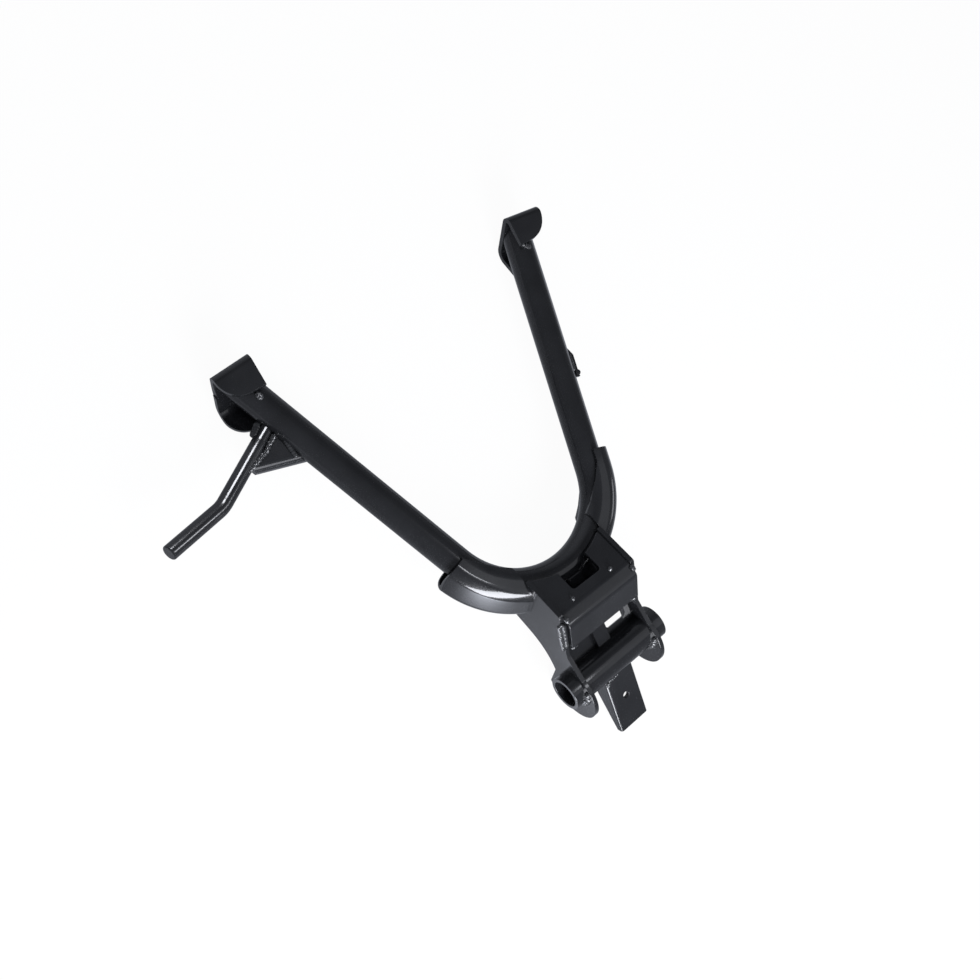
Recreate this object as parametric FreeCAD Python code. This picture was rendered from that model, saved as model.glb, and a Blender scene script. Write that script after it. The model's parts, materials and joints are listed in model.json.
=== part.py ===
import FreeCAD, Part
import math
import os

# Motorcycle centre stand, a welded frame of bent tube and plate.
# Everything is first laid out flat: X runs along the pivot, Y from the pivot
# to the feet and Z up out of the plane of the legs. The last step tips the
# whole frame about the pivot until it rests on its lobes and its feet.

V = FreeCAD.Vector
AXIS_X = V(1, 0, 0)
AXIS_Z = V(0, 0, 1)

# Pivot tube
pivot_outer = 30.0
pivot_bore = 24.0
pivot_length = 106.0

# Leg tube, one piece bent to a V with a round bottom
leg_outer = 25.4
leg_wall = 2.6
leg_splay = 18.2
bend_radius = 78.0
bend_centre_y = 165.4
leg_height = 17.0
leg_end_y = 356.0

# Shells wrapped round the outside of the bend
shell_wall = 3.0
shell_top_reach = 11.5
shell_low_reach = 22.9
shell_bend = 9.0
shell_low_bend = 4.0
shell_past_left = 1.5
shell_past_right = 14.0
shell_corner = 13.0
# Rear edge of a shell: degrees round the bend, and how far inside the tube's centre line
shell_lip = [(16.0, 0.0), (27.4, 5.5), (41.5, 9.3), (51.2, 11.0)]

# Side plates with a round lobe at the pivot
plate_thick = 4.0
plate_inner_x = 38.0
lobe_centre = (-3.8, -10.5)
lobe_radius = 28.0
plate_corner_radius = 3.0
plate_top = [(62.5, 50.5), (27.0, 19.5)]
plate_bottom = [(17.5, -14.5), (37.0, -10.0), (57.0, -13.2)]
# Ends of the plate at the bend, from the tube's centre line
plate_top_end = (0.0, 34.6)
plate_bottom_end = [(-22.4, -20.0), (-10.4, -16.0), (0.0, 0.0)]

# Bridge plate between the side plates
bridge_thick = 4.0
bridge_rear = (-1.9, 31.9)
bridge_line = [(63.0, 46.2), (52.3, 47.4), (34.2, 29.3)]
bridge_bends = [8.0, 5.0]
notch_width = 31.0
notch_front_y = 72.0
notch_corner = 3.0
plug_x = 21.0

# Brace strip from the pivot tube to the bottom of the bend
brace_width = 14.0
brace_thick = 4.5
brace_start = (9.0, 3.0)
brace_end = (-8.4, 10.5)

# Web plate under the brace strip, with one window beside the strip
web_thick = 3.0
web_past_bend = 1.4
window_x = (9.0, 32.0)
window_y = (21.0, 30.5)
window_corner = 4.0

# Spring bracket under the pivot tube
bracket_thick = 3.5
bracket_width = 32.0
bracket_slope = 28.0
bracket_root = (-13.2, -1.5)
bracket_length = 60.5
bracket_root_depth = 21.0
bracket_tip_depth = 6.0
bracket_bend = 2.4
hook_hole = 6.5
hook_hole_from_root = 29.0

# Feet, each a strip bent round the end of its leg
foot_thick = 4.0
foot_inside = 16.3
foot_outside = 16.7
foot_past_leg = 3.5
foot_fold_turn = 5.5
# Centre line of the strip from the end of the leg, in Y and Z
foot_line = [(-33.0, 14.9), (1.1, 22.0), (-17.4, -21.2), (-50.0, -14.4)]
foot_bends = [4.0, 10.0]
foot_top_corner = 20.0
foot_top_reach = 23.0
foot_low_corner = 17.0
foot_low_reach = 42.5

# Lever the rider treads on, a bent rod
rod_dia = 12.0
lever_from_end = 46.3
# Centre line of the rod: outwards, forwards and up from its root on the leg
rod_line = [(0.7, 1.0, -4.0), (21.7, -10.4, -2.0), (73.2, -39.2, 5.5), (123.6, -49.0, 19.4)]
rod_bends = [16.0, 26.0]
rod_end_round = 1.2

# Gusset between the lever and the left leg
gusset_thick = 4.0
gusset_flange = 11.0
gusset_bend = 6.0
gusset_outline = [(-6.3, -9.0), (-12.3, -43.4), (36.2, -29.2), (37.7, -25.0), (21.7, -12.0)]

# Lug and peg on the outside of the right leg
lug_thick = 3.0
lug_length = 26.0
lug_out = 3.6
lug_along = 93.0
peg_dia = 5.0
peg_height = 9.0

# Weld beads, half widths
bead_pivot = 4.0
bead_edge = 3.2
bead_plate = 2.6
bead_foot = 2.8
bead_gusset = 2.2
bead_root = 3.4
bead_lug = 1.6


def at(x, y, z):
    return V(x, y, z)


def unit(a, b):
    d = b.sub(a)
    d.normalize()
    return d


def corner(before, here, after, radius):
    """Ends and centre of the arc that rounds one corner of a path."""
    d1, d2 = unit(before, here), unit(here, after)
    turn = d1.getAngle(d2)
    run = radius * math.tan(turn / 2)
    start, end = here.sub(d1 * run), here.add(d2 * run)
    middle = d2.sub(d1)
    middle.normalize()
    centre = here.add(middle * (radius / math.cos(turn / 2)))
    return start, end, centre


def rounded_path(points, radii):
    """A wire of straight runs joined by tangent arcs."""
    edges = []
    last = points[0]
    for before, here, after, radius in zip(points, points[1:], points[2:], radii):
        start, end, centre = corner(before, here, after, radius)
        top = centre.add(unit(centre, here) * radius)
        edges.append(Part.makeLine(last, start))
        edges.append(Part.Arc(start, top, end).toShape())
        last = end
    edges.append(Part.makeLine(last, points[-1]))
    return Part.Wire(edges)


def side_of_strip(points, radii, shift):
    """One side of a bent strip: its centre line moved sideways by shift."""
    edges = []
    left = [V(0, -unit(a, b).z, unit(a, b).y) for a, b in zip(points, points[1:])]
    last = points[0].add(left[0] * shift)
    for i, radius in enumerate(radii):
        start, end, centre = corner(points[i], points[i + 1], points[i + 2], radius)
        start = start.add(left[i] * shift)
        end = end.add(left[i + 1] * shift)
        size = start.sub(centre).Length
        top = centre.add(unit(centre, points[i + 1]) * size)
        edges.append(Part.makeLine(last, start))
        edges.append(Part.Arc(start, top, end).toShape())
        last = end
    tip = points[-1].add(left[-1] * shift)
    edges.append(Part.makeLine(last, tip))
    return edges


def bent_strip(line, radii, thick, x_from, x_to):
    """A plate bent along the centre line given in Y and Z."""
    points = [at(x_from, y, z) for y, z in line]
    one = side_of_strip(points, radii, thick / 2)
    two = side_of_strip(points, radii, -thick / 2)
    start = Part.makeLine(one[0].firstVertex().Point, two[0].firstVertex().Point)
    end = Part.makeLine(one[-1].lastVertex().Point, two[-1].lastVertex().Point)
    face = Part.Face(Part.Wire(Part.__sortEdges__(one + two + [start, end])))
    return face.extrude(AXIS_X * (x_to - x_from))


def prism_xy(outline, z_from, z_to):
    points = [at(x, y, z_from) for x, y in outline]
    face = Part.Face(Part.makePolygon(points + points[:1]))
    return face.extrude(AXIS_Z * (z_to - z_from))


def prism_yz(outline, x_from, x_to):
    points = [at(x_from, y, z) for y, z in outline]
    face = Part.Face(Part.makePolygon(points + points[:1]))
    return face.extrude(AXIS_X * (x_to - x_from))


def mirrored(shape):
    return shape.mirror(V(0, 0, 0), AXIS_X)


def pick_edges(shape, test):
    return [e for e in shape.Edges if test(e.CenterOfMass, e)]


def largest(shape):
    return max(shape.Solids, key=lambda s: s.Volume)


# The round bend and the legs share one way of sweeping a section

bend_turn = 180.0 - 2 * leg_splay
splay = math.radians(leg_splay)
leg_dir = V(math.sin(splay), math.cos(splay), 0)
leg_out = V(math.cos(splay), -math.sin(splay), 0)
bend_end = at(bend_radius * math.cos(splay), bend_centre_y - bend_radius * math.sin(splay), leg_height)
bend_centre = at(0, bend_centre_y, leg_height)
leg_length = (leg_end_y - bend_end.y) / math.cos(splay)
bend_bottom_y = bend_centre_y - bend_radius
face_x = plate_inner_x + plate_thick


def leg_point(along, out=0.0, up=0.0):
    """A point beside the right leg, measured from the end of the bend."""
    return bend_end.add(leg_dir * along).add(leg_out * out).add(AXIS_Z * up)


def left_leg_point(along, out=0.0, up=0.0):
    p = leg_point(along, out, up)
    return at(-p.x, p.y, p.z)


foot_width = foot_inside + foot_outside
foot_fold = at(leg_point(leg_length).x - foot_inside, leg_end_y + foot_past_leg, leg_height)
lever_root = left_leg_point(leg_length - lever_from_end)


def by_lever(out, forward, up=0.0):
    """A point measured from the root of the lever on the left leg."""
    return lever_root.add(at(-out, forward, up))


def placed_section(wire):
    """Turn a section drawn about the tube centre to face the right leg."""
    face = Part.Face(wire)
    face.translate(V(bend_radius, 0, 0))
    face.rotate(V(0, 0, 0), AXIS_Z, -leg_splay)
    face.translate(bend_centre)
    return face


def ring(radius):
    circle = Part.Circle(V(0, 0, 0), V(0, 1, 0), radius)
    return Part.Wire(circle.toShape())


def shell_outline(wall):
    """Half round behind the tube, two flanges and a leaning web in front."""
    radius = leg_outer / 2 + wall
    foot_of_web = V(shell_low_reach, 0, -leg_outer / 2)
    head_of_web = V(shell_top_reach, 0, leg_outer / 2)
    lean = unit(foot_of_web, head_of_web)
    outwards = V(lean.z, 0, -lean.x)
    on_web = foot_of_web.add(outwards * wall)

    def web_at(z):
        return on_web.add(lean * ((z - on_web.z) / lean.z))

    top, bottom = V(0, 0, radius), V(0, 0, -radius)
    bends = [shell_bend + wall, shell_low_bend + wall]
    front = rounded_path([top, web_at(radius), web_at(-radius), bottom], bends)
    back = Part.Arc(bottom, V(-radius, 0, 0), top).toShape()
    return Part.Wire(front.Edges + [back])


def sweep_legs(face):
    bend = face.revolve(bend_centre, AXIS_Z, -bend_turn)
    right = face.extrude(leg_dir * leg_length)
    return bend.fuse([right, mirrored(right)]).removeSplitter()


def make_foot():
    """Right foot, the strip that takes the weight on the ground."""
    foot = bent_strip(foot_line, foot_bends, foot_thick, -foot_width, 2 * foot_width)
    foot.rotate(V(0, 0, 0), AXIS_Z, -foot_fold_turn)
    foot.translate(foot_fold)
    inner_x, outer_x = foot_fold.x, foot_fold.x + foot_width
    front_y = foot_fold.y + foot_width
    middle = leg_height - 2
    tall = 3 * leg_outer
    leaves = [(foot_top_reach, foot_top_corner, middle, middle + tall),
              (foot_low_reach, foot_low_corner, middle - tall, middle)]
    plans = []
    for reach, radius, z_from, z_to in leaves:
        back_y = leg_end_y - reach
        outline = [(inner_x, back_y), (outer_x, back_y), (outer_x, front_y), (inner_x, front_y)]
        plan = prism_xy(outline, z_from, z_to)
        edges = pick_edges(plan, lambda c, e: abs(c.x - outer_x) < 0.1 and abs(c.y - back_y) < 0.1)
        plans.append(plan.makeFillet(radius, edges))
    return foot.common(plans[0].fuse(plans[1]))


def foot_wall_cutter():
    """All that lies on the far side of the foot's inner wall face."""
    top, low = foot_line[1], foot_line[2]
    slope = math.atan2(top[1] - low[1], top[0] - low[0])
    off = foot_thick / 2
    far = 4 * leg_outer
    a = (top[0] - off * math.sin(slope), top[1] + off * math.cos(slope))
    run = (math.cos(slope), math.sin(slope))
    high = (a[0] + run[0] * far, a[1] + run[1] * far)
    deep = (a[0] - run[0] * far, a[1] - run[1] * far)
    cutter = prism_yz([high, deep, (2 * far, deep[1]), (2 * far, high[1])], -far, far)
    cutter.rotate(V(0, 0, 0), AXIS_Z, -foot_fold_turn)
    cutter.translate(foot_fold)
    return cutter


def make_leg_tube(cutter):
    solid = sweep_legs(placed_section(ring(leg_outer / 2)))
    inside = sweep_legs(placed_section(ring(leg_outer / 2 - leg_wall)))
    both = cutter.fuse(mirrored(cutter))
    solid = solid.cut(both)
    return solid.cut(inside), solid


def make_shell(past_bend):
    """Right shell, a pressed channel hugging the outside of the bend."""
    layers = []
    for wall in (shell_wall, 0):
        face = placed_section(shell_outline(wall))
        bend = face.revolve(bend_centre, AXIS_Z, -70)
        straight = face.extrude(leg_dir * (past_bend + 1))
        layers.append(bend.fuse(straight).removeSplitter())
    shell = layers[0].cut(layers[1])
    tip = leg_point(past_bend, 2 * leg_outer)
    root = leg_point(past_bend)
    front_y = bend_bottom_y - 2 * leg_outer
    lip = []
    for turn, inside in shell_lip:
        a = math.radians(turn)
        reach = bend_radius - inside
        lip.append((reach * math.cos(a), bend_centre_y - reach * math.sin(a)))
    outline = [(root.x, root.y)] + lip + [(face_x, front_y), (2 * bend_radius, front_y), (tip.x, tip.y)]
    low, high = leg_height - 2 * leg_outer, leg_height + 2 * leg_outer
    plan = prism_xy(outline, low, high)
    inner = [(0, front_y), (face_x, front_y), (face_x, bend_centre_y), (0, bend_centre_y)]
    between = prism_xy(inner, low, high)
    corner_at = leg_point(past_bend, shell_low_reach + shell_wall)
    centre = corner_at.sub((leg_dir + leg_out) * shell_corner)
    square = prism_xy([(p.x, p.y) for p in (
        centre,
        centre.add(leg_dir * 2 * shell_corner),
        centre.add((leg_dir + leg_out) * 2 * shell_corner),
        centre.add(leg_out * 2 * shell_corner))], low, high)
    round_off = Part.makeCylinder(shell_corner, high - low, at(centre.x, centre.y, low))
    return shell.common(plan).cut([between, square.cut(round_off)])


def make_side_plate():
    """Right side plate: a straight body that ends in the round lobe."""
    x = plate_inner_x
    cy, cz = lobe_centre

    def on_lobe(angle):
        a = math.radians(angle)
        return at(x, cy + lobe_radius * math.cos(a), cz + lobe_radius * math.sin(a))

    middle_x = plate_inner_x + plate_thick / 2
    end_y = bend_centre_y - math.sqrt(bend_radius ** 2 - middle_x ** 2)
    top = [at(x, end_y + plate_top_end[0], plate_top_end[1])] + [at(x, y, z) for y, z in plate_top]
    low = [at(x, y, z) for y, z in plate_bottom] + [at(x, end_y + y, z) for y, z in plate_bottom_end]
    start, end, centre = corner(top[0], top[1], top[2], plate_corner_radius)
    crown = centre.add(unit(centre, top[1]) * plate_corner_radius)
    lobe_top, lobe_low = on_lobe(76), on_lobe(-66)
    edges = [
        Part.makeLine(top[0], start),
        Part.Arc(start, crown, end).toShape(),
        Part.makeLine(end, top[2]),
        Part.makeLine(top[2], lobe_top),
        Part.Arc(lobe_top, on_lobe(190), lobe_low).toShape(),
        Part.makeLine(lobe_low, low[0]),
        Part.Arc(low[0], low[1], low[2]).toShape(),
    ]
    for a, b in zip(low[2:], low[3:] + [top[0]]):
        edges.append(Part.makeLine(a, b))
    return Part.Face(Part.Wire(edges)).extrude(AXIS_X * plate_thick)


def bridge_path():
    end_y = bend_centre_y - math.sqrt(bend_radius ** 2 - plate_inner_x ** 2)
    return [(end_y + bridge_rear[0], bridge_rear[1])] + bridge_line


def make_bridge():
    line = bridge_path()
    tall = 4 * leg_outer
    bridge = bent_strip(line, bridge_bends, bridge_thick, -plate_inner_x, plate_inner_x)
    half = notch_width / 2
    rear_y = bend_centre_y
    outline = [(-half, notch_front_y), (half, notch_front_y), (half, rear_y), (-half, rear_y)]
    notch = prism_xy(outline, 0, tall)
    edges = pick_edges(notch, lambda c, e: abs(c.y - notch_front_y) < 0.1 and abs(c.z - tall / 2) < 0.1)
    notch = notch.makeFillet(notch_corner, edges)
    behind = Part.makeCylinder(bend_radius, tall, at(0, bend_centre_y, 0))
    return bridge.cut([notch, behind])


def on_bridge(x, leaf, run, lift):
    """A point over one leaf of the bridge, at a run from the leaf's rear corner."""
    points = [at(x, y, z) for y, z in bridge_path()]
    ahead = unit(points[leaf], points[leaf + 1])
    above = V(0, ahead.z, -ahead.y)
    return points[leaf].add(ahead * run).add(above * (bridge_thick / 2 + lift))


def brace_line():
    end = (bend_bottom_y + brace_end[0], leg_height + brace_end[1])
    return [brace_start, end]


def make_web():
    """Sloping plate that carries the brace strip and closes the middle."""
    (y1, z1), (y2, z2) = brace_line()
    slope = math.atan2(z2 - z1, y2 - y1)
    web_rear_y = bend_bottom_y + web_past_bend
    off = (brace_thick + web_thick) / 2
    down_y, down_z = math.sin(slope) * off, -math.cos(slope) * off
    rear_z = z1 + (web_rear_y - y1) * math.tan(slope)
    line = [(y1 + down_y, z1 + down_z), (web_rear_y + down_y, rear_z + down_z)]
    plate = bent_strip(line, [], web_thick, -plate_inner_x, plate_inner_x)
    (x1, x2), (w1, w2) = window_x, window_y
    window = prism_xy([(x1, w1), (x2, w1), (x2, w2), (x1, w2)], -40, 60)
    upright = pick_edges(window, lambda c, e: abs(c.z - 10) < 0.1 and e.Length > 99)
    return plate.cut(window.makeFillet(window_corner, upright))


def make_bracket():
    """Channel with a flat web on top and flanges that taper to the tip."""
    slope = math.radians(bracket_slope)
    along = V(0, -math.cos(slope), -math.sin(slope))
    down = V(0, math.sin(slope), -math.cos(slope))
    root = at(0, bracket_root[0], bracket_root[1])
    half = bracket_width / 2

    def spot(run, depth):
        p = root.add(along * run).add(down * depth)
        return (p.y, p.z)

    outline = [spot(0, 0), spot(bracket_length, 0), spot(bracket_length, bracket_tip_depth),
               spot(6, bracket_root_depth), (4, -24.5), (4, 0)]
    outer = prism_yz(outline, -half, half)
    top = pick_edges(outer, lambda c, e: abs(abs(c.x) - half) < 0.1 and e.Length > bracket_length - 0.1
                     and abs(c.y - spot(bracket_length / 2, 0)[0]) < 0.1)
    outer = outer.makeFillet(bracket_bend, top)
    inside = [spot(-60, bracket_thick), spot(bracket_length + 5, bracket_thick),
              spot(bracket_length + 5, 60), spot(-60, 60)]
    hollow = prism_yz(inside, -half + bracket_thick, half - bracket_thick)
    hole_at = root.add(along * hook_hole_from_root)
    hole = Part.makeCylinder(hook_hole / 2, 20, hole_at.sub(down * 10), down)
    return outer.cut([hollow, hole]), hole_at, down


def make_rod():
    points = [by_lever(*p) for p in rod_line]
    path = rounded_path(points, rod_bends)
    start_dir = unit(points[0], points[1])
    profile = Part.Wire(Part.Circle(points[0], start_dir, rod_dia / 2).toShape())
    rod = path.makePipeShell([profile], True, False)
    tip = points[-1]
    rim = pick_edges(rod, lambda c, e: c.sub(tip).Length < 1.0)
    return rod.makeFillet(rod_end_round, rim)


def make_gusset():
    """Flat plate from lever to leg, its front edge folded down."""
    corners = [by_lever(*p) for p in gusset_outline]
    top, low = leg_height, leg_height - gusset_flange
    gusset = prism_xy([(p.x, p.y) for p in corners], low, top)
    fold = [at(p.x, p.y, top) for p in corners[1:3]]
    middle = fold[0].add(fold[1]) * 0.5
    edges = pick_edges(gusset, lambda c, e: c.sub(middle).Length < 0.1)
    gusset = gusset.makeFillet(gusset_bend, edges)
    ahead = unit(fold[1], fold[0])
    inwards = V(-ahead.y, ahead.x, 0)
    long = 4 * leg_outer
    under = [fold[0].add(ahead * long), fold[1].sub(ahead * long)]
    under = [p.add(inwards * gusset_thick) for p in under]
    under += [p.add(inwards * long) for p in reversed(under)]
    hollow = prism_xy([(p.x, p.y) for p in under], low - gusset_flange, top - gusset_thick)
    middle = middle.add(inwards * gusset_thick)
    rim = pick_edges(hollow, lambda c, e: c.sub(middle).Length < gusset_thick + 0.1)
    hollow = hollow.makeFillet(gusset_bend - gusset_thick, rim)
    return gusset.cut(hollow)


def bead(points, radius):
    """A weld bead laid along straight runs, round at both ends."""
    parts = [Part.makeSphere(radius, p) for p in points]
    for a, b in zip(points, points[1:]):
        parts.append(Part.makeCylinder(radius, b.sub(a).Length, a, unit(a, b)))
    return parts[0].fuse(parts[1:])


def ring_bead(x, angle_from, angle_to, size):
    """A weld bead round the pivot tube, drawn as part of a ring."""
    circle = Part.Circle(at(x, pivot_outer / 2, 0), AXIS_X.cross(V(0, 1, 0)), size)
    face = Part.Face(Part.Wire(circle.toShape()))
    face.rotate(V(0, 0, 0), AXIS_X, angle_from)
    swept = face.revolve(V(0, 0, 0), AXIS_X, angle_to - angle_from)
    ends = []
    for angle in (angle_from, angle_to):
        a = math.radians(angle)
        centre = at(x, pivot_outer / 2 * math.cos(a), pivot_outer / 2 * math.sin(a))
        ends.append(Part.makeSphere(size, centre))
    return swept.fuse(ends)


nodes = {}

# Main pieces
leg_tube, leg_solid = make_leg_tube(foot_wall_cutter())
foot_right = make_foot().cut(leg_solid)
foot_left = mirrored(foot_right)
pivot_solid = Part.makeCylinder(pivot_outer / 2, pivot_length, at(-pivot_length / 2, 0, 0), AXIS_X)
bore = Part.makeCylinder(pivot_bore / 2, pivot_length, at(-pivot_length / 2, 0, 0), AXIS_X)
plate_right = make_side_plate().cut([leg_solid, pivot_solid])
shell_right = make_shell(shell_past_right)
shell_left = mirrored(make_shell(shell_past_left))
bridge = make_bridge().cut(leg_solid)
brace = bent_strip(brace_line(), [], brace_thick, -brace_width / 2, brace_width / 2)
web = make_web()
bracket, hook_at, hook_dir = make_bracket()
rod = make_rod().cut(leg_solid)
gusset = make_gusset()

nodes["leg_tube"] = leg_tube
nodes["pivot_tube"] = pivot_solid.cut(bore)
nodes["side_plate_right"] = plate_right
nodes["side_plate_left"] = mirrored(plate_right)
nodes["bend_shell_right"] = shell_right
nodes["bend_shell_left"] = shell_left
nodes["bridge_plate"] = bridge
nodes["centre_brace"] = brace.cut([leg_solid, pivot_solid])
nodes["web_plate"] = largest(web.cut([leg_solid, pivot_solid]))
nodes["spring_bracket"] = bracket.cut(pivot_solid)
nodes["foot_right"] = foot_right
nodes["foot_left"] = foot_left
nodes["lever_rod"] = rod
nodes["lever_gusset"] = gusset.cut([leg_solid, rod])

# Lug and peg on the right leg
lug_points = [(-lug_length / 2, 4), (-lug_length / 2 + 2, lug_out), (lug_length / 2 - 6, lug_out),
              (lug_length / 2, 0), (lug_length / 2, -5), (-lug_length / 2, -5)]
lug_plan = []
for along, out in lug_points:
    p = leg_point(lug_along + along, leg_outer / 2 + out)
    lug_plan.append((p.x, p.y))
lug = prism_xy(lug_plan, leg_height + 1, leg_height + 1 + lug_thick).cut(leg_solid)
peg_along = lug_along - lug_length / 2 + 3.5
peg_at = leg_point(peg_along, leg_outer / 2 + lug_out - 1.5, lug_thick - peg_height + 3)
peg = Part.makeCylinder(peg_dia / 2, peg_height, peg_at)
rims = pick_edges(peg, lambda c, e: e.Curve.TypeId == "Part::GeomCircle")
peg = peg.makeFillet(0.8, rims)
nodes["cable_lug"] = lug.cut(peg)
nodes["lug_peg"] = peg.cut(leg_solid)

# Weld beads, each cut back to the faces it joins
bodies = {name: shape for name, shape in nodes.items()}
crest_x = plate_inner_x - 0.6
rear_run = at(0, *bridge_path()[1]).sub(at(0, *bridge_path()[0])).Length
stop_y, stop_z = bridge_line[-1]
plate_edge = [at(-face_x - 0.5, y, z) for y, z in plate_top]
edge_run = plate_edge[1].sub(plate_edge[0])
front_of_pivot = -pivot_outer / 2 - 0.6
bracket_side = bracket_width / 2 - 2
rod_seam = [(9.0, -11.5, 1.5), (17.5, -16.0, 0.8), (22.0, -19.4, 0.5), (37.2, -24.4, 2.6), (44.0, -26.2, 4.0)]
root_seam = [(14.0, 3.5, -1.5), (18.2, -0.6, -1.5), (24.4, -5.2, -1.0)]
lug_top = lug_thick + 1.4
lug_face = leg_outer / 2 - 0.4


def crest_bead(side):
    return bead([on_bridge(side * crest_x, 1, run, 0.9) for run in (2.5, 8.5)], bead_gusset)


def plug_bead(side):
    return bead([on_bridge(side * plug_x, 0, rear_run - back, -0.3) for back in (5.9, 2.6)], bead_plate)


def stop_bead(side):
    return bead([at(side * plate_inner_x, stop_y - 1.2, stop_z - 1.3),
                 at(side * (plate_inner_x - 7), stop_y - 1.2, stop_z - 2.3)], bead_plate)


beads = {
    "weld_pivot_left": [ring_bead(-face_x, 114, 255, bead_pivot)],
    "weld_pivot_right": [ring_bead(plate_inner_x, 120, 250, bead_pivot)],
    "weld_bridge_left": [crest_bead(-1)],
    "weld_bridge_right": [crest_bead(1)],
    "weld_plugs": [plug_bead(-1), plug_bead(1)],
    "weld_front_left": [stop_bead(-1)],
    "weld_front_right": [stop_bead(1)],
    "weld_edge_left": [bead([plate_edge[0].add(edge_run * s) for s in (0.155, 0.775)], bead_edge)],
    "weld_bracket": [bead([at(x, front_of_pivot, -1) for x in (-bracket_side, -2)], bead_plate)],
    "weld_foot_left": [bead([left_leg_point(leg_length - 24.5, 0.6, 13.3),
                             left_leg_point(leg_length - 31.5, 0.9, 12.4)], bead_foot)],
    "weld_foot_right": [bead([leg_point(leg_length - 23.0, -6.0, 12.9),
                              leg_point(leg_length - 29.0, 2.6, 12.4)], bead_foot)],
    "weld_gusset_leg": [bead([by_lever(5.5, -17.8, 1.5), by_lever(4.7, -34.8, 0.5)], bead_gusset)],
    "weld_gusset_rod": [bead([by_lever(*p) for p in rod_seam], bead_plate)],
    "weld_lever_root": [bead([by_lever(*p) for p in root_seam], bead_root)],
    "weld_lug": [bead([leg_point(lug_along + s * 8, lug_face, lug_top) for s in (-1, 1)], bead_lug)],
}
solids = [leg_solid, pivot_solid] + [s for n, s in bodies.items() if n not in ("leg_tube", "pivot_tube")]
for name, parts in beads.items():
    cut_parts = []
    for part in parts:
        near = [s for s in solids if s.BoundBox.intersect(part.BoundBox)]
        left_over = part.cut(near)
        cut_parts.append(largest(left_over))
    nodes[name] = cut_parts[0] if len(cut_parts) == 1 else Part.makeCompound(cut_parts)
    solids += cut_parts


# Rest attitude: the line under the lobes and under the bend of the feet
def rest_angle():
    y1, z1 = lobe_centre
    points = [at(0, y, z) for y, z in foot_line]
    middle = corner(points[1], points[2], points[3], foot_bends[1])[2]
    turn = math.radians(foot_fold_turn)
    y2 = foot_fold.y + middle.y / math.cos(turn) - foot_width / 2 * math.tan(turn)
    z2 = leg_height + middle.z
    gap = math.hypot(y2 - y1, z2 - z1)
    grow = lobe_radius - (foot_bends[1] + foot_thick / 2)
    return math.degrees(math.atan2(z2 - z1, y2 - y1) + math.asin(grow / gap))


tip = rest_angle()
os.makedirs("parts", exist_ok=True)
for name, shape in nodes.items():
    placed = shape.copy()
    placed.rotate(V(0, 0, 0), AXIS_X, -tip)
    placed.exportStep("parts/" + name + ".step")

hook_at = FreeCAD.Rotation(AXIS_X, -tip).multVec(hook_at)
hook_dir = FreeCAD.Rotation(AXIS_X, -tip).multVec(hook_dir)
print("rest angle %.3f" % tip)
print("hook hole at", [round(c, 3) for c in hook_at], "axis", [round(c, 4) for c in hook_dir])
for name, shape in nodes.items():
    print(name, "solids", len(shape.Solids), "volume %.0f" % shape.Volume, "valid", shape.isValid())
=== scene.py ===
import json
import math
import random

import bmesh
import bpy
from mathutils import Matrix, Vector, noise

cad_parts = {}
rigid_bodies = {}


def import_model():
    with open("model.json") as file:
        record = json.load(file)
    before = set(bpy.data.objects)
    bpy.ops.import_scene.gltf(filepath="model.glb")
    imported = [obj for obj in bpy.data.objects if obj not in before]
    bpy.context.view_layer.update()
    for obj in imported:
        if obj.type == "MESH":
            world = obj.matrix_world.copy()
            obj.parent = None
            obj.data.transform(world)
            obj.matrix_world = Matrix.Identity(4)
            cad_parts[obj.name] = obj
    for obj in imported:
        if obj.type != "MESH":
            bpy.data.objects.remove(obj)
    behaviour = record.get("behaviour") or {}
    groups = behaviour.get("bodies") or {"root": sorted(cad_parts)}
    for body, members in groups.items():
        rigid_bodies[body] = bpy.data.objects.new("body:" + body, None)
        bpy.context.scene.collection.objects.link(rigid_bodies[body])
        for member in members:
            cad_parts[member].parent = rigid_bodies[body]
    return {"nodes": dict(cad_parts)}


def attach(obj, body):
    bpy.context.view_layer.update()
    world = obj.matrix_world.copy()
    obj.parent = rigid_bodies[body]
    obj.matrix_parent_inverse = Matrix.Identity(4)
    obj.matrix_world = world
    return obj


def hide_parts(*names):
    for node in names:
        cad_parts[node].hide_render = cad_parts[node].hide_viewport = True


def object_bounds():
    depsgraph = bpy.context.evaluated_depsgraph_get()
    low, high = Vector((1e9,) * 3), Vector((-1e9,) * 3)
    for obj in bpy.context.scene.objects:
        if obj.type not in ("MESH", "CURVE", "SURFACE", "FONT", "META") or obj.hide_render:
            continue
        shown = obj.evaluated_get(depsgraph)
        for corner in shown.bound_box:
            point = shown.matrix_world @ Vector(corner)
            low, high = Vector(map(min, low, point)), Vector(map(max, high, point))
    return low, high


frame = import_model()
cad_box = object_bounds()
nodes = frame["nodes"]
scene = bpy.context.scene

# The stand is drawn flat and then tipped about the pivot until it rests
TIP = math.radians(5.713)
TIPPED = Matrix.Rotation(-TIP, 3, "X")
MM = 1000


def placed(x, y, z):
    """A point of the flat drawing in millimetres, as a point of the frame."""
    return TIPPED @ Vector((x, y, z)) / MM


def turned(x, y, z):
    """A direction of the flat drawing, as a direction of the frame."""
    return (TIPPED @ Vector((x, y, z))).normalized()


# Materials

def tree_of(name):
    mat = bpy.data.materials.new(name)
    mat.use_nodes = True
    nt = mat.node_tree
    return mat, nt, nt.nodes["Principled BSDF"]


def add(nt, kind, **values):
    """A new node, with values for its sockets or its own settings."""
    node = nt.nodes.new(kind)
    for key, value in values.items():
        if key in node.inputs:
            node.inputs[key].default_value = value
        else:
            setattr(node, key, value)
    return node


def feed(nt, socket, value):
    """Give a socket a plain value, or link it to another socket."""
    if isinstance(value, bpy.types.NodeSocket):
        nt.links.new(value, socket)
    else:
        socket.default_value = value


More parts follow.
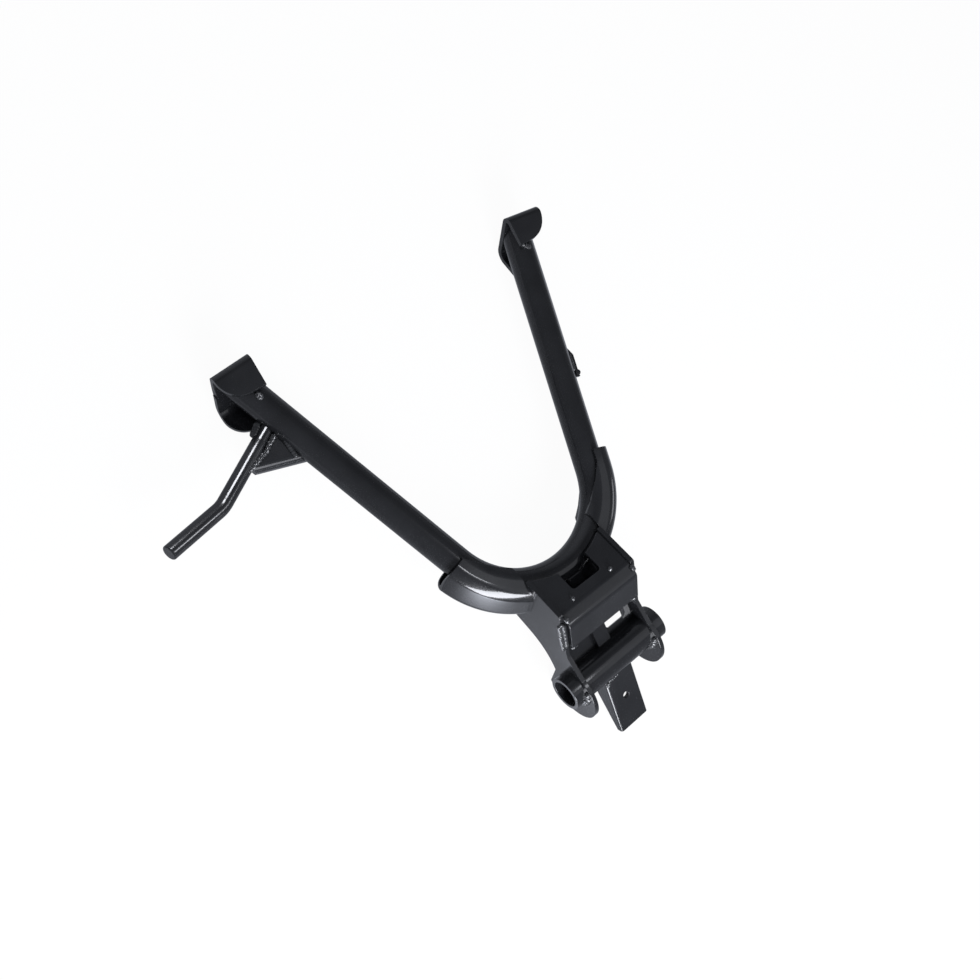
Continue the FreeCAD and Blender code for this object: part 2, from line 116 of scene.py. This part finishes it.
def enamel(name, dark, light, rough, peel=0.05, wave=0.25, edge=0.0007, coat=0.75):
    """Black stoving enamel: soft body, clear gloss on top, slight orange peel."""
    mat, nt, bsdf = tree_of(name)
    link = nt.links.new
    where = add(nt, "ShaderNodeTexCoord").outputs["Object"]

    def grain(**values):
        node = add(nt, "ShaderNodeTexNoise", **values)
        link(where, node.inputs["Vector"])
        return node.outputs["Fac"]

    tone = add(nt, "ShaderNodeValToRGB")
    for element, position, colour in zip(tone.color_ramp.elements, (0.35, 0.7), (dark, light)):
        element.position = position
        element.color = (*colour, 1)
    link(grain(Scale=22.0, Detail=4.0, Roughness=0.6), tone.inputs["Fac"])
    link(tone.outputs["Color"], bsdf.inputs["Base Color"])

    spread = add(nt, "ShaderNodeMapRange", **{
        "From Min": 0.3, "From Max": 0.7, "To Min": rough[0], "To Max": rough[1]})
    link(grain(Scale=60.0, Detail=3.0), spread.inputs["Value"])
    link(spread.outputs["Result"], bsdf.inputs["Roughness"])

    rounded = add(nt, "ShaderNodeBevel", samples=6, Radius=edge)
    waves = add(nt, "ShaderNodeBump", Strength=wave, Distance=0.0006)
    peeled = add(nt, "ShaderNodeBump", Strength=peel, Distance=0.0003)
    link(rounded.outputs["Normal"], waves.inputs["Normal"])
    link(grain(Scale=35.0, Detail=1.0), waves.inputs["Height"])
    link(waves.outputs["Normal"], peeled.inputs["Normal"])
    link(grain(Scale=420.0, Detail=2.0), peeled.inputs["Height"])
    link(peeled.outputs["Normal"], bsdf.inputs["Normal"])
    link(peeled.outputs["Normal"], bsdf.inputs["Coat Normal"])
    bsdf.inputs["Specular IOR Level"].default_value = 0.25
    bsdf.inputs["Coat Weight"].default_value = coat
    bsdf.inputs["Coat Roughness"].default_value = 0.08
    return mat


BLACK = (0.0078, 0.0081, 0.0091), (0.0125, 0.013, 0.0143)
WELD_BLACK = (0.014, 0.0145, 0.0155), (0.028, 0.0288, 0.0305)
tube_paint = enamel("tube_enamel", *BLACK, rough=(0.2, 0.3))
plate_paint = enamel("plate_enamel", *BLACK, rough=(0.17, 0.26), edge=0.001)
weld_paint = enamel("weld_enamel", *WELD_BLACK, rough=(0.22, 0.4), peel=0.08, wave=0.3,
                    edge=0.0004, coat=1.0)

plate_nodes = ("side_plate_left", "side_plate_right", "bridge_plate", "spring_bracket",
               "web_plate", "centre_brace", "lever_gusset")
for name, obj in nodes.items():
    if name.startswith("weld_"):
        paint, slot = weld_paint, "weld_enamel"
    elif name in plate_nodes:
        paint, slot = plate_paint, "plate_enamel"
    else:
        paint, slot = tube_paint, "tube_enamel"
    obj.data.materials.clear()
    obj.data.materials.append(paint)


# Weld beads, laid as overlapping scales over the plain beads of the frame
RING_STEP = 0.0003
RING_SIDES = 20
# Mean size of a bead against its radius, and the share of that underneath
BEAD_SHARE = 0.97
UNDER_SHARE = 0.5
# Number of scale sizes, how steeply a scale drops, and how small the closed ends get
SCALES = 60
SCALE_DROP = 1.7
CAP_LEAST = 0.04
# Lumps: how fine along the bead, and how far apart round it
LUMPS_PER_METRE = 700
LUMP_TURN = 0.35


def along_path(points, step):
    """Points at even steps along a broken line, each with its direction."""
    out = []
    for a, b in zip(points, points[1:]):
        run = b - a
        count = max(2, round(run.length / step))
        for i in range(count):
            out.append((a + run * (i / count), run.normalized()))
    out.append((points[-1], (points[-1] - points[-2]).normalized()))
    return out


def weld(name, paths, radius, faces, seed, pitch=2.1, depth=0.2, lumps=0.05):
    """One rippled bead for each path; faces gives the way each bead looks.

    The radius and the pitch of the scales are in millimetres; depth and lumps are shares of the
    radius.
    """
    rng = random.Random(seed)
    bm = bmesh.new()
    radius /= MM
    for points, out in zip(paths, faces):
        spots = along_path(points, RING_STEP)
        length = RING_STEP * len(spots)
        rings = []
        travelled = 0.0
        last = spots[0][0]
        start = rng.random()
        scale_sizes = [1 + rng.uniform(-0.09, 0.07) for _ in range(SCALES)]
        for spot, way in spots:
            travelled += (spot - last).length
            last = spot
            up = out(spot) if callable(out) else out
            up = (up - way * up.dot(way)).normalized()
            side = way.cross(up).normalized()
            phase = travelled * MM / pitch + start
            size = scale_sizes[int(phase) % SCALES]
            ripple = 1 - depth * (phase % 1.0) ** SCALE_DROP
            from_end = min(travelled, max(length - travelled, 0.0))
            cap = math.sqrt(max(CAP_LEAST, 1 - max(0.0, 1 - from_end / radius) ** 2))
            r = radius * size * ripple * cap * BEAD_SHARE
            ring = []
            for k in range(RING_SIDES):
                a = 2 * math.pi * k / RING_SIDES
                lift = math.sin(a) * (1.0 if math.sin(a) > 0 else UNDER_SHARE)
                lump = noise.noise(spot * LUMPS_PER_METRE + Vector((k * LUMP_TURN, 0, seed)))
                wobble = 1 + lumps * lump
                ring.append(bm.verts.new(spot + (side * math.cos(a) + up * lift) * r * wobble))
            rings.append(ring)
        for one, two in zip(rings, rings[1:]):
            for k in range(RING_SIDES):
                after = (k + 1) % RING_SIDES
                bm.faces.new((one[k], one[after], two[after], two[k]))
        bm.faces.new(rings[0][::-1])
        bm.faces.new(rings[-1])
    bmesh.ops.recalc_face_normals(bm, faces=bm.faces)
    mesh = bpy.data.meshes.new(name + "_bead")
    bm.to_mesh(mesh)
    bm.free()
    for face in mesh.polygons:
        face.use_smooth = True
    obj = bpy.data.objects.new(name + "_bead", mesh)
    scene.collection.objects.link(obj)
    obj.data.materials.append(weld_paint)
    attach(obj, "root")
    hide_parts(name)


# Places on the frame, as in its own drawing: the legs splay from the ends of the bend
PIVOT_RADIUS = 15
BEND_RADIUS = 78
BEND_CENTRE_Y = 165.4
LEG_HEIGHT = 17
LEG_END_Y = 356
LEVER_FROM_END = 46.3
HALF_SHEET = 2
splay = math.radians(18.2)
leg_dir = Vector((math.sin(splay), math.cos(splay), 0))
leg_out = Vector((math.cos(splay), -math.sin(splay), 0))
bend_end = Vector((BEND_RADIUS * math.cos(splay), BEND_CENTRE_Y - BEND_RADIUS * math.sin(splay),
                   LEG_HEIGHT))
leg_length = (LEG_END_Y - bend_end.y) / math.cos(splay)
bridge = [Vector((0, 96.57, 31.9)), Vector((0, 63, 46.2)), Vector((0, 52.3, 47.4))]
bridge_slant = (bridge[1] - bridge[0]).length


def ring_path(x, angle_from, angle_to, parts=24):
    """Points round the pivot tube."""
    points = []
    for i in range(parts + 1):
        a = math.radians(angle_from + (angle_to - angle_from) * i / parts)
        points.append(placed(x, PIVOT_RADIUS * math.cos(a), PIVOT_RADIUS * math.sin(a)))
    return points


def from_pivot(spot):
    """A bead at the pivot tube looks outwards and to the left along the tube."""
    radial = Vector((0, spot.y, spot.z)).normalized()
    return (radial + Vector((-1, 0, 0))).normalized()


def straight(*points):
    return [placed(*p) for p in points]


def leg(side, along, out, up):
    """A point by a leg, from its end at the bend."""
    p = bend_end + leg_dir * along + leg_out * out + Vector((0, 0, up))
    return placed(side * p.x, p.y, p.z)


def by_lever(out, forward, up):
    """A point from where the lever's rod meets the left leg."""
    root = bend_end + leg_dir * (leg_length - LEVER_FROM_END)
    return placed(-root.x - out, root.y + forward, root.z + up)


def on_bridge(x, leaf, run, lift):
    """A point over one leaf of the bridge plate, from the leaf's rear edge."""
    ahead = (bridge[leaf + 1] - bridge[leaf]).normalized()
    above = Vector((0, ahead.z, -ahead.y))
    p = bridge[leaf] + ahead * run + above * (HALF_SHEET + lift)
    return placed(x, p.y, p.z)


weld("weld_pivot_left", [ring_path(-42, 114, 255)], 4.0, [from_pivot], seed=2, pitch=3.2,
     depth=0.12, lumps=0.04)
weld("weld_pivot_right", [ring_path(38, 120, 250)], 4.0, [from_pivot], seed=3, pitch=3.2,
     depth=0.12, lumps=0.04)
for side, sign in (("left", -1), ("right", 1)):
    weld("weld_bridge_" + side, [[on_bridge(sign * 37.4, 1, run, 0.9) for run in (2.5, 8.5)]],
         2.4, [turned(0, -0.1, 1)], seed=5 + sign, lumps=0.2)
    weld("weld_front_" + side, [straight((sign * 38, 33, 28), (sign * 31, 33, 27))],
         2.6, [turned(0, -1, 0.4)], seed=8 + sign, lumps=0.15)
plugs = [[on_bridge(sign * 21, 0, bridge_slant - back, sign * 0.45) for back in (6.4, 2.2)]
         for sign in (-1, 1)]
weld("weld_plugs", plugs, 2.7, [turned(0, 0.3, 1)] * 2, seed=11, pitch=1.6, depth=0.3,
     lumps=0.35)
outer_edge = straight((-43.5, 57.4, 45.2), (-44.0, 48, 37.4), (-43.6, 35.4, 26.8))
inner_edge = straight((-43.2, 57.8, 45.8), (-40.7, 55.0, 45.2), (-40.6, 46, 37.4),
                      (-40.8, 35.8, 28.0))
weld("weld_edge_left", [outer_edge, inner_edge], 1.9,
     [turned(-0.8, -0.4, 0.5), turned(-0.3, -0.6, 0.7)], seed=12, depth=0.05, lumps=0.03)
bracket_top = straight((-14, -15.6, -1), (-2, -15.6, -1))
bracket_side = straight((-13.8, -15.4, -1), (-15, -20.5, -4.2))
weld("weld_bracket", [bracket_top, bracket_side], 2.2,
     [turned(0, -0.7, 0.8), turned(-0.5, -0.5, 0.8)], seed=13, depth=0.3, lumps=0.25)
left_foot = [leg(-1, leg_length - 24.5, 0.6, 13.3), leg(-1, leg_length - 31.5, 0.9, 12.4)]
weld("weld_foot_left", [left_foot], 2.8, [turned(0, -0.5, 1)], seed=14, depth=0.3, lumps=0.3)
right_foot = [leg(1, leg_length - 23.0, -6.0, 12.9), leg(1, leg_length - 29.0, 2.6, 12.4)]
weld("weld_foot_right", [right_foot], 2.8, [turned(0, -0.5, 1)], seed=15, depth=0.3, lumps=0.3)
weld("weld_gusset_leg", [[by_lever(5.5, -17.8, 1.5), by_lever(4.7, -34.8, 0.5)]], 2.2,
     [turned(-0.6, 0.2, 1)], seed=16, depth=0.15)
rod_seam = [(9.0, -11.5, 1.5), (17.5, -16.0, 0.8), (22.0, -19.4, 0.5), (37.2, -24.4, 2.6),
            (44.0, -26.2, 4.0)]
weld("weld_gusset_rod", [[by_lever(*p) for p in rod_seam]], 2.6, [turned(0.2, -0.5, 1)],
     seed=17, pitch=3.2, depth=0.4, lumps=0.4)
root_seam = [(14.0, 3.5, -1.5), (18.2, -0.6, -1.5), (24.4, -5.2, -1.0)]
weld("weld_lever_root", [[by_lever(*p) for p in root_seam]], 3.4, [turned(-0.5, 0.4, 1)],
     seed=18, depth=0.05)
weld("weld_lug", [[leg(1, 93 + end * 8, 12.3, 4.4) for end in (-1, 1)]], 1.6,
     [turned(0.8, -0.2, 0.6)], seed=19)


# Camera at the photograph's place
PICTURE_PX = 980
FOCAL_PX = 938.0
SENSOR_MM = 36
# The picture's right, down and forward directions in the flat drawing
right = Vector((0.750, -0.551, 0.365)).normalized()
down = Vector((-0.512, -0.834, -0.207))
down = (down - right * down.dot(right)).normalized()
ahead = right.cross(down).normalized()
# How far the pivot lies from the eye along each of them, in millimetres
pivot_at = Vector((101.363, 140.642, 792.379))
eye = -(right * pivot_at.x + down * pivot_at.y + ahead * pivot_at.z)
right, down, ahead = (TIPPED @ v for v in (right, down, ahead))

cam_data = bpy.data.cameras.new("camera")
cam_data.sensor_width = SENSOR_MM
cam_data.lens = FOCAL_PX * SENSOR_MM / PICTURE_PX
cam_data.clip_start = 0.01
cam_data.clip_end = 100
camera = bpy.data.objects.new("camera", cam_data)
scene.collection.objects.link(camera)
scene.camera = camera
turn = Matrix((right, -down, -ahead)).transposed().to_4x4()
camera.matrix_world = Matrix.Translation(TIPPED @ eye / MM) @ turn


# Light that is white to the eye and, for the stand, a little cool
COOL = (0.93, 0.97, 1.08)


def maths(nt, operation, one, two):
    """A maths node fed by two sockets or plain numbers."""
    node = add(nt, "ShaderNodeMath", operation=operation)
    for socket, value in zip(node.inputs, (one, two)):
        feed(nt, socket, value)
    return node.outputs[0]


def switch(nt, ray, otherwise, then):
    """One number for a kind of ray and another for the rest."""
    node = add(nt, "ShaderNodeMix", data_type="FLOAT")
    for name, value in (("Factor", ray), ("A", otherwise), ("B", then)):
        feed(nt, node.inputs[name], value)
    return node.outputs["Result"]


def room_colour(nt, camera_ray):
    """The cool colour of the room, and white where the camera looks."""
    node = add(nt, "ShaderNodeMix", data_type="RGBA")
    nt.links.new(camera_ray, node.inputs["Factor"])
    colour_a, colour_b = node.inputs[6], node.inputs[7]
    colour_a.default_value = (*COOL, 1)
    colour_b.default_value = (1, 1, 1, 1)
    return node.outputs[2]


# Floor: white to the eye; to the gloss of the enamel it glows dim, with five brighter glowing
# pools, painted reflections of light though the floor is no lamp
FLOOR_SIZE = 12
FLOOR_COLOUR = (0.86, 0.86, 0.86, 1)
FLOOR_GLOW = 0.95
FLOOR_GLOSS_GLOW = 0.2
# Each painted glowing pool has a centre, a radius in metres and a strength
GLOW_POOLS = (((-0.08, 0.01, 0), 0.12, 0.27), ((-0.16, -0.036, 0), 0.05, 8.5),
         ((0.35, 0.2, 0), 0.24, 0.5), ((-0.05, 0.8, 0), 0.3, 0.5), ((-0.5, 0.25, 0), 0.2, 0.4))

floor_z = cad_box[0].z
bpy.ops.mesh.primitive_plane_add(size=FLOOR_SIZE, location=(0, 0, floor_z))
floor = bpy.context.object
floor.name = "floor"
mat, nt, bsdf = tree_of("floor")
nt.nodes.remove(bsdf)

where = add(nt, "ShaderNodeTexCoord")
# Painted reflections: the floor's glow for glossy rays, a dim level plus the glowing pools
gloss = FLOOR_GLOSS_GLOW
for centre, radius, height in GLOW_POOLS:
    distance = add(nt, "ShaderNodeVectorMath", operation="DISTANCE")
    nt.links.new(where.outputs["Object"], distance.inputs[0])
    distance.inputs[1].default_value = centre
    near = maths(nt, "DIVIDE", distance.outputs["Value"], radius)
    fall = maths(nt, "MULTIPLY", maths(nt, "MULTIPLY", near, near), -1.0)
    bell = maths(nt, "POWER", math.e, fall)
    gloss = maths(nt, "ADD", gloss, maths(nt, "MULTIPLY", bell, height))

rays = add(nt, "ShaderNodeLightPath").outputs
glow = add(nt, "ShaderNodeEmission")
nt.links.new(room_colour(nt, rays["Is Camera Ray"]), glow.inputs["Color"])
nt.links.new(switch(nt, rays["Is Glossy Ray"], 1.0, gloss), glow.inputs["Strength"])
diffuse = add(nt, "ShaderNodeBsdfDiffuse", Color=FLOOR_COLOUR)
seen = maths(nt, "MULTIPLY", rays["Is Camera Ray"], FLOOR_GLOW)
mixer = add(nt, "ShaderNodeMixShader")
nt.links.new(maths(nt, "MAXIMUM", seen, rays["Is Glossy Ray"]), mixer.inputs[0])
nt.links.new(diffuse.outputs[0], mixer.inputs[1])
nt.links.new(glow.outputs[0], mixer.inputs[2])
nt.links.new(mixer.outputs[0], nt.nodes["Material Output"].inputs["Surface"])
floor.data.materials.append(mat)


# World: a dim room with two brighter walls, white to the eye
ROOM_LEVEL = 0.14
ROOM_SLOPE = (-0.06, -0.06, 0.04)
ROOM_LEAST = 0.05
WALLS = (((0.9, 0.35, -0.25), 0.4), ((0.05, 0.95, 0.1), 1.1))
WALL_EDGE = 0.6
ROOM_ON_BODY = 0.55

world = bpy.data.worlds.new("studio")
scene.world = world
world.use_nodes = True
nt = world.node_tree
where = add(nt, "ShaderNodeTexCoord")


def toward(way):
    """How far the ray looks along a direction of the room."""
    node = add(nt, "ShaderNodeVectorMath", operation="DOT_PRODUCT")
    nt.links.new(where.outputs["Generated"], node.inputs[0])
    node.inputs[1].default_value = way
    return node.outputs["Value"]


room = maths(nt, "MAXIMUM", maths(nt, "ADD", toward(ROOM_SLOPE), ROOM_LEVEL), ROOM_LEAST)
for way, power in WALLS:
    wall = maths(nt, "MAXIMUM", maths(nt, "SUBTRACT", toward(way), WALL_EDGE), 0.0)
    room = maths(nt, "ADD", room, maths(nt, "MULTIPLY", wall, power))
rays = add(nt, "ShaderNodeLightPath").outputs
room = switch(nt, rays["Is Diffuse Ray"], room, ROOM_ON_BODY)
background = nt.nodes["Background"]
nt.links.new(switch(nt, rays["Is Camera Ray"], room, 1.0), background.inputs["Strength"])
nt.links.new(room_colour(nt, rays["Is Camera Ray"]), background.inputs["Color"])


# Lamps: soft boxes, in metres and watts
LAMP_COLOUR = (0.96, 0.98, 1.04)


def lamp(name, aim, direction, distance, size, power, along, only=(), body=True, shine=True):
    """A soft box that looks at one place of the stand, its width along a given line.

    It lights all pieces or only some, in their body colour, in their gloss or in both.
    """
    data = bpy.data.lights.new(name, "AREA")
    data.shape = "RECTANGLE"
    data.size, data.size_y = size
    data.energy = power
    data.color = LAMP_COLOUR
    obj = bpy.data.objects.new(name, data)
    scene.collection.objects.link(obj)
    away = Vector(direction).normalized()
    across = Vector(along)
    across = (across - away * across.dot(away)).normalized()
    turn = Matrix((across, away.cross(across), away)).transposed().to_4x4()
    obj.matrix_world = Matrix.Translation(aim + away * distance) @ turn
    obj.visible_camera = False
    obj.visible_diffuse = body
    obj.visible_glossy = shine
    if only:
        group = bpy.data.collections.new(name + " shines on")
        for lit in only:
            group.objects.link(lit)
        obj.light_linking.receiver_collection = group


# The lever has its own lamps, and the bright pieces catch the key in their gloss
beads = {obj.name: obj for obj in scene.objects if obj.name.endswith("_bead")}
gusset = nodes["lever_gusset"]
lever = [nodes["lever_rod"], gusset, beads["weld_gusset_rod_bead"],
         beads["weld_foot_left_bead"]]
bright = [nodes[name] for name in ("bend_shell_left", "bend_shell_right", "side_plate_left",
                                   "side_plate_right", "pivot_tube", "spring_bracket",
                                   "bridge_plate")]
bright += list(beads.values())
key = dict(aim=placed(-30, 80, 0), direction=(-0.42, -0.72, 0.45), size=(1.1, 0.34),
           along=(0.5, 0, 0.72))
lamp("key", distance=0.92, power=21, shine=False, **key)
lamp("key shine", distance=0.9, power=21, only=bright, body=False, **key)
lamp("fold", distance=0.88, power=4, only=[gusset], body=False, **key)
lamp("fill", aim=placed(0, 40, 20), direction=(0.37, -0.22, 0.9), distance=0.65,
     size=(0.5, 0.5), power=0.34, along=(1, 0, 0))
lamp("top", aim=placed(4, 115, 20), direction=(0, 0, 1), distance=0.3,
     size=(0.05, 0.025), power=0.04, along=(0.6, -0.8, 0))
lamp("rim", aim=placed(-38, 1, 17), direction=(0.38, -0.02, 0.92), distance=0.3,
     size=(0.02, 0.05), power=0.018, along=(1, 0, 0), only=bright)
lamp("right", aim=placed(70, 110, 20), direction=(0.86, -0.38, 0.34), distance=0.8,
     size=(0.22, 0.2), power=0.33, along=(0.4, 0.9, 0))
lamp("rod", aim=placed(-178, 287, 22), direction=(0.25, 0.6, 0.75), distance=0.42,
     size=(0.07, 0.16), power=0.9, along=(-0.8655, -0.484, 0.126), only=lever)
lamp("side", aim=placed(-229, 268, 29), direction=(0.675, -0.41, 0.614), distance=1.0,
     size=(0.16, 0.16), power=1.0, along=(0, 1, 0), only=lever)

scene.view_settings.view_transform = "Standard"
